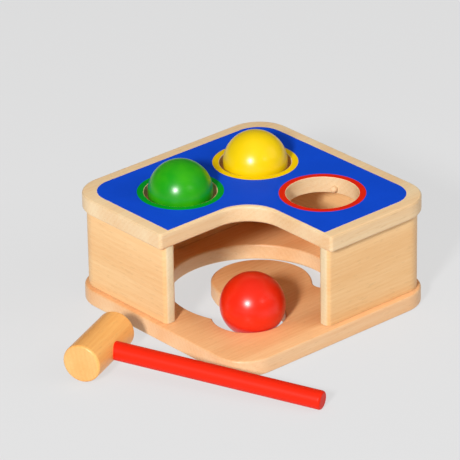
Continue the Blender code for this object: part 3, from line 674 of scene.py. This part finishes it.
class BENCH_OT_lacquer(bpy.types.Operator):
    """Builds the lacquered fields, rings and line on the boards"""
    bl_idname = "bench.lacquer"
    bl_label = "Lacquered fields"

    def execute(self, context):
        sizes, colours = context.scene.bench_sizes, context.scene.bench_colours
        low, high = TOP_HIGH.z - sizes.film, TOP_HIGH.z + sizes.film
        for name in LACQUERS:
            at = HOLE_AT[name]
            ring = [film(lambda inset: circle(at, sizes.ring_out - inset), low, high, 1),
                    film(lambda inset: circle(at, sizes.ring_in + inset), low, high, 1)]
            paint = lacquer(f"{name}_lacquer_sprayed_on_board", getattr(colours, f"{name}_ring"), RING_COAT)
            plate(f"{name}_ring_lacquer", ring, paint, "bench", f"{name}_lacquer", f"{name}_hole_ring")
        blue = [film(lambda inset: notched(sizes.field_reach - inset, -sizes.field_notch + inset,
                                           sizes.field_corner - inset, sizes.notch_corner + inset,
                                           sizes.field_tip - inset), low, high, 1)]
        blue += [film(lambda inset, at=at: circle(at, sizes.ring_out + inset), low, high, 1)
                 for at in HOLE_AT.values()]
        paint = lacquer("blue_lacquer_sprayed_on_board", colours.blue, BLUE_COAT)
        plate("blue_field_lacquer", blue, paint, "bench", "blue_lacquer", "blue_field")
        low, high = BASE_LOW.z - sizes.film, BASE_LOW.z + sizes.film
        line_out = sizes.line_from + sizes.line_wide
        yellow = [film(lambda inset: square(FIELD_REACH - inset, sizes.field_corner - inset), low, high, -1),
                  film(lambda inset: slot_outline(sizes, line_out + inset), low, high, -1)]
        paint = lacquer("yellow_lacquer_sprayed_on_underside", colours.yellow, UNDERSIDE_COAT)
        plate("underside_field_lacquer", yellow, paint, "bench", "yellow_lacquer", "yellow_field")
        line = [film(lambda inset: slot_outline(sizes, line_out - inset), low, high, -1),
                film(lambda inset: slot_outline(sizes, sizes.line_from + inset), low, high, -1)]
        paint = lacquer("red_lacquer_sprayed_on_underside", colours.red, UNDERSIDE_COAT)
        plate("underside_line_lacquer", line, paint, "bench", "red_lacquer", "red_slot_line")
        return {"FINISHED"}


class BENCH_OT_balls(bpy.types.Operator):
    """Builds the three turned and lacquered balls"""
    bl_idname = "bench.balls"
    bl_label = "Balls"

    def execute(self, context):
        colours = context.scene.bench_colours
        profile = polar(BALL_RADIUS, np.linspace(-np.pi / 2, np.pi / 2, BALL_FACETS // 2 + 1))
        for name, at in BALL_AT.items():
            # The green ball's second tone gives random patches that are partly painted sheen.
            paint = lacquer(f"{name}_gloss_lacquer_sprayed_on_turned_beech", getattr(colours, name),
                            BALL_COAT, getattr(colours, f"{name}_thin", None))
            piece(f"{name}_ball_turned", [turned(profile, BALL_FACETS, Matrix.Translation(at))], [], paint,
                  f"{name}_ball", f"{name}_ball_wood", f"{name}_ball")
        return {"FINISHED"}


class BENCH_OT_stops(bpy.types.Operator):
    """Builds the rubber stops in the three holes"""
    bl_idname = "bench.stops"
    bl_label = "Stops"

    def execute(self, context):
        sizes, colours = context.scene.bench_sizes, context.scene.bench_colours
        soft = rubber("natural_rubber_moulded", colours.rubber)
        rise = (STOP_LOW.z + STOP_HIGH.z) / 2
        root = sizes.hole + sizes.stop_grip
        # The round noses stop one joint short of the ball that lies on them
        reach = BALL_RADIUS + sizes.stop + sizes.joint
        nose = math.sqrt(reach ** 2 - (BALL_AT["green"].z - rise) ** 2) - sizes.stop
        profile = soft_rod(sizes.stop, nose, root, low_edge=sizes.stop, high_edge=0.2 * MM, support=0.1 * MM)
        turns = sizes.stop_turn + np.arange(STOPS_IN_HOLE) * 2 * math.pi / STOPS_IN_HOLE
        for name, at in HOLE_AT.items():
            pegs = [turned(profile, STOP_FACETS, Matrix.Translation((*at, rise))
                           @ Matrix.Rotation(turn, 4, "Z") @ Matrix.Rotation(math.pi / 2, 4, "Y"))
                    for turn in turns.tolist()]
            piece(f"{name}_hole_stops", pegs, [], soft, "bench", "stop_rubber",
                  *(f"{name}_hole_stop_{number + 1}" for number in range(STOPS_IN_HOLE)))
        return {"FINISHED"}


class BENCH_OT_dowels(bpy.types.Operator):
    """Gives the hidden dowels between walls and boards their wood"""
    bl_idname = "bench.dowels"
    bl_label = "Dowels"

    def execute(self, context):
        colours = context.scene.bench_colours
        wood = beech("beech_dowel_turned", turn=(0, math.pi / 2, 0), pith=(0.0, 0.03, 0.02),
                     tones=(colours.dowel_pale, colours.dowel_deep), ray=colours.ray, gloss=BARE)
        for name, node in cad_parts.items():
            if "_dowel_" in name:
                for slot in node.material_slots:
                    slot.material = wood
        return {"FINISHED"}


class BENCH_OT_hammer(bpy.types.Operator):
    """Builds the hammer's turned head and its red handle"""
    bl_idname = "bench.hammer"
    bl_label = "Hammer"

    def execute(self, context):
        sizes, colours = context.scene.bench_sizes, context.scene.bench_colours
        straight = sizes.handle_reach - sizes.handle_end
        # The head lies on the floor and the handle leans down until its rounded end touches it too
        tilt = math.asin(sizes.head / math.hypot(straight, sizes.handle)) - math.atan2(sizes.handle, straight)
        carrier = (Matrix.Translation((TOP_LOW.x - sizes.hammer_away, -sizes.hammer_along, sizes.head))
                   @ Euler((tilt, 0, sizes.hammer_turn)).to_matrix().to_4x4())
        half = sizes.head_long / 2
        profile = soft_rod(sizes.head, -half, half, low_edge=sizes.head_rim, high_edge=sizes.head_rim)
        head = turned(profile, HEAD_FACETS, carrier @ Matrix.Rotation(math.pi / 2, 4, "Y"))
        wood = beech("beech_hammer_head_turned_oiled", turn=(0, 0, -sizes.hammer_turn),
                     pith=(0.1, 0.02, -0.03), tones=(colours.head_pale, colours.head_deep),
                     ray=colours.ray, gloss=OILED, axis=0, across=(colours.face_pale, colours.face_deep))
        piece("hammer_head_turned", [head], [], wood, "hammer", "hammer_beech", "hammer_head")
        profile = soft_rod(sizes.handle, HANDLE_START * sizes.head, sizes.handle_reach,
                           low_edge=0.3 * MM, high_edge=sizes.handle_end)
        handle = turned(profile, HANDLE_FACETS, carrier @ Matrix.Rotation(math.pi / 2, 4, "X"))
        paint = lacquer("red_satin_lacquer_sprayed_on_turned_handle", colours.red, HANDLE_COAT)
        piece("hammer_handle_turned", [handle], [], paint, "hammer", "red_handle_wood", "hammer_handle")
        return {"FINISHED"}


class BENCH_OT_stage(bpy.types.Operator):
    """Builds the pale floor, the soft lights and the camera"""
    bl_idname = "bench.stage"
    bl_label = "Stage"

    def execute(self, context):
        scene = context.scene
        mesh = bpy.data.meshes.new("light_table_floor")
        reach = FLOOR_REACH
        mesh.from_pydata([(-reach, -reach, 0), (reach, -reach, 0), (reach, reach, 0), (-reach, reach, 0)], [],
                         [(0, 1, 2, 3)])
        sheet = frosted_acrylic("acrylic_floor_sandblasted", scene.bench_colours.floor, FLOOR_GLOW)
        mesh.materials.append(sheet)
        floor = bpy.data.objects.new("light_table_floor", mesh)
        # Just below the lacquer of the underside
        floor.location.z = -2 * scene.bench_sizes.film
        scene.collection.objects.link(floor)
        world = bpy.data.worlds.new("studio_fill")
        world.use_nodes = True
        fill = world.node_tree.nodes["Background"].inputs
        fill["Color"].default_value = shade(linear(FILL_COLOUR))
        fill["Strength"].default_value = FILL_STRENGTH
        scene.world = world
        scene.view_settings.view_transform = "Standard"
        for row in LIGHTS:
            self.light(scene, *row)
        eye = bpy.data.cameras.new("photo_camera")
        eye.sensor_width, eye.lens = CAMERA_SENSOR, CAMERA_LENS
        camera = bpy.data.objects.new("photo_camera", eye)
        yaw, pitch, roll = (math.radians(turn) for turn in CAMERA_TURN)
        ahead = Vector((math.cos(yaw) * math.cos(pitch), math.sin(yaw) * math.cos(pitch), -math.sin(pitch)))
        right = ahead.cross(Vector((0, 0, 1))).normalized()
        up = right.cross(ahead)
        right, up = right * math.cos(roll) + up * math.sin(roll), up * math.cos(roll) - right * math.sin(roll)
        axes = Matrix((right, up, -ahead)).transposed().to_4x4()
        camera.matrix_world = Matrix.Translation(CAMERA_AT) @ axes
        scene.collection.objects.link(camera)
        scene.camera = camera
        return {"FINISHED"}

    def light(self, scene, name, around, above, away, wide, power, mirrored):
        """Round soft light at an angle round the bench and above the floor, turned to its middle."""
        lamp = bpy.data.lights.new(name, "AREA")
        lamp.shape, lamp.size, lamp.energy = "DISK", wide, power
        around, above = math.radians(around), math.radians(above)
        flat = math.cos(above)
        aim = Vector((math.cos(around) * flat, math.sin(around) * flat, math.sin(above)))
        thing = bpy.data.objects.new(name, lamp)
        thing.location = Vector(LIGHTS_AIM) + aim * away
        thing.rotation_euler = aim.to_track_quat("Z", "Y").to_euler()
        thing.visible_glossy = mirrored
        scene.collection.objects.link(thing)


class BENCH_PT_sidebar(bpy.types.Panel):
    """Lists the bench's pieces, sizes and colours"""
    bl_idname = "BENCH_PT_sidebar"
    bl_label = "Pounding Bench"
    bl_space_type = "VIEW_3D"
    bl_region_type = "UI"
    bl_category = "Pounding Bench"

    def draw(self, context):
        for operator in OPERATORS:
            self.layout.operator(operator.bl_idname)
        for group in (context.scene.bench_sizes, context.scene.bench_colours):
            column = self.layout.column()
            for name in group.__annotations__:
                column.prop(group, name)


OPERATORS = (BENCH_OT_boards, BENCH_OT_walls, BENCH_OT_dowels, BENCH_OT_lacquer, BENCH_OT_stops,
             BENCH_OT_balls, BENCH_OT_hammer, BENCH_OT_stage)
CLASSES = (BenchSizes, BenchColours, *OPERATORS, BENCH_PT_sidebar)


def register():
    """Registers the classes and hangs the sizes and colours on the scene."""
    for item in CLASSES:
        bpy.utils.register_class(item)
    bpy.types.Scene.bench_sizes = bpy.props.PointerProperty(type=BenchSizes)
    bpy.types.Scene.bench_colours = bpy.props.PointerProperty(type=BenchColours)


def unregister():
    """Takes the sizes, the colours and the classes away again."""
    del bpy.types.Scene.bench_colours
    del bpy.types.Scene.bench_sizes
    for item in reversed(CLASSES):
        bpy.utils.unregister_class(item)


def main():
    """Builds every piece and the stage."""
    register()
    bpy.ops.bench.boards()
    bpy.ops.bench.walls()
    bpy.ops.bench.dowels()
    bpy.ops.bench.lacquer()
    bpy.ops.bench.stops()
    bpy.ops.bench.balls()
    bpy.ops.bench.hammer()
    bpy.ops.bench.stage()


if __name__ == "__main__":
    main()
